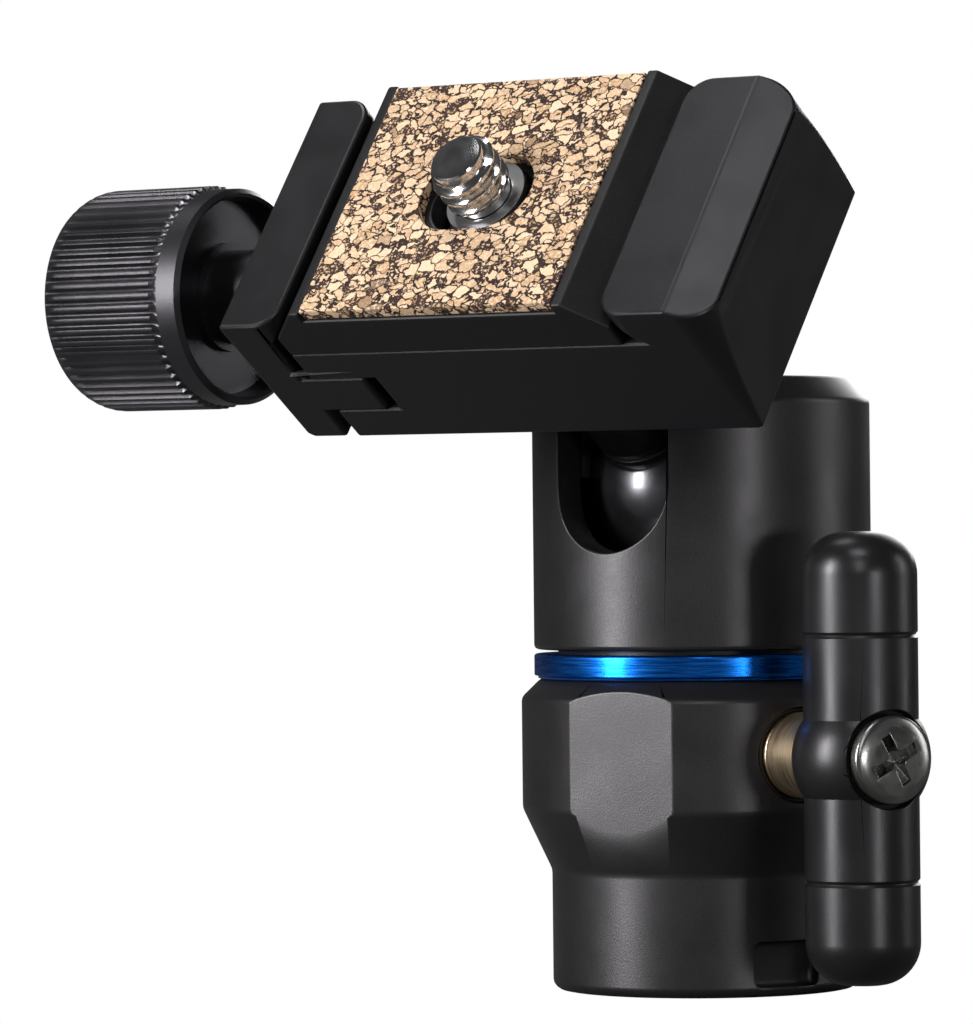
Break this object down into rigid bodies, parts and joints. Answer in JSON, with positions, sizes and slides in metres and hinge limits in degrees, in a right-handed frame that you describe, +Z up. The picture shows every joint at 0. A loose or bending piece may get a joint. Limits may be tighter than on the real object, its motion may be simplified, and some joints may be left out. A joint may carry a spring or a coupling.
{
  "type": "tripod ball head",
  "caption": "Small tripod ball head with a T-shaped lock lever, a panning ring, a drop slot and a dovetail clamp with a fluted knob, holding a corked camera plate.",
  "frame": {"origin": "centre of the base's underside, where the tripod's stud enters", "axes": "+Z up along the panning axis; +X outwards along the lock lever's shaft"},
  "size_m": [0.081, 0.068, 0.0821],
  "materials": {
    "anodised_dark": "fine bead-blasted, anodised",
    "anodised_blue": "bright turned, anodised",
    "turned_grey": "turned and fluted, anodised",
    "plate_dark": "fine textured, anodised",
    "ball_black": "polished, hard anodised",
    "brass": "turned",
    "bright_steel": "bright plated",
    "black_steel": "black nickel",
    "spring_steel": "plain",
    "seat_polymer": "moulded",
    "seal_rubber": "moulded",
    "cork": "pressed cork granules"
  },
  "bodies": {
    "base": {"lock_body": "anodised_dark", "tripod_bush": "spring_steel", "pan_ring": "anodised_blue", "friction_disc": "seat_polymer", "thrust_washer": "seat_polymer"},
    "housing": {"ball_housing": "anodised_dark", "pan_spindle": "spring_steel", "upper_seat": "seat_polymer", "lower_seat": "seat_polymer", "disc_springs": "spring_steel"},
    "plunger": {"lock_plunger": "brass"},
    "lock_travel": {"shaft_seal": "seal_rubber"},
    "lever": {"lock_screw": "brass", "lever_bar": "anodised_dark", "lever_screw": "black_steel"},
    "ball": {"ball": "ball_black"},
    "platform": {"stem": "ball_black", "stem_screw": "black_steel", "clamp_base": "anodised_dark", "thread_insert": "brass"},
    "jaw": {"movable_jaw": "anodised_dark", "jaw_washer": "bright_steel"},
    "knob": {"clamp_knob": "turned_grey", "clamp_screw": "bright_steel"},
    "plate": {"quick_plate": "plate_dark", "cork_pad": "cork"},
    "camera_bolt": {"camera_screw": "bright_steel", "screw_clip": "spring_steel"}
  },
  "joints": [
    {"name": "pan", "type": "hinge", "parent": "base", "child": "housing", "pos_m": [0, 0, 0.0332], "axis": [0, 0, 1], "continuous": true},
    {"name": "lever_travel", "type": "slide", "parent": "base", "child": "lock_travel", "axis": [1, 0, 0], "range_m": [0, 0.0004]},
    {"name": "lever_turn", "type": "hinge", "parent": "lock_travel", "child": "lever", "pos_m": [0.015, 0, 0.0218], "axis": [1, 0, 0], "range_deg": [0, 115]},
    {"name": "plunger_lift", "type": "slide", "parent": "base", "child": "plunger", "axis": [0, 0, 1], "range_m": [-0.0004, 0]},
    {"name": "ball_tilt", "type": "hinge", "parent": "housing", "child": "ball", "pos_m": [0, 0, 0.0462], "axis": [0.9157, 0.4019, 0], "range_deg": [-80, 36]},
    {"name": "platform_spin", "type": "hinge", "parent": "ball", "child": "platform", "pos_m": [0, 0, 0.0462], "axis": [0.3252, -0.7408, 0.5878], "continuous": true},
    {"name": "jaw_slide", "type": "slide", "parent": "platform", "child": "jaw", "axis": [0.9157, 0.4019, 0], "range_m": [-0.005, 0]},
    {"name": "knob_turn", "type": "hinge", "parent": "jaw", "child": "knob", "pos_m": [-0.02867, -0.03918, 0.06389], "axis": [0.9157, 0.4019, 0], "range_deg": [-1800, 0]},
    {"name": "plate_slide", "type": "slide", "parent": "platform", "child": "plate", "axis": [-0.2363, 0.5382, 0.809], "range_m": [-0.01, 0.01]},
    {"name": "camera_screw_turn", "type": "hinge", "parent": "plate", "child": "camera_bolt", "pos_m": [0.01476, -0.03063, 0.07089], "axis": [0.3252, -0.7408, 0.5878], "continuous": true}
  ],
  "couplings": [
    {"joint": "lever_travel", "follows": "lever_turn", "m_per_rad": 0.00019894},
    {"joint": "plunger_lift", "follows": "lever_turn", "m_per_rad": -0.00019894},
    {"joint": "jaw_slide", "follows": "knob_turn", "m_per_rad": 0.00012732}
  ]
}
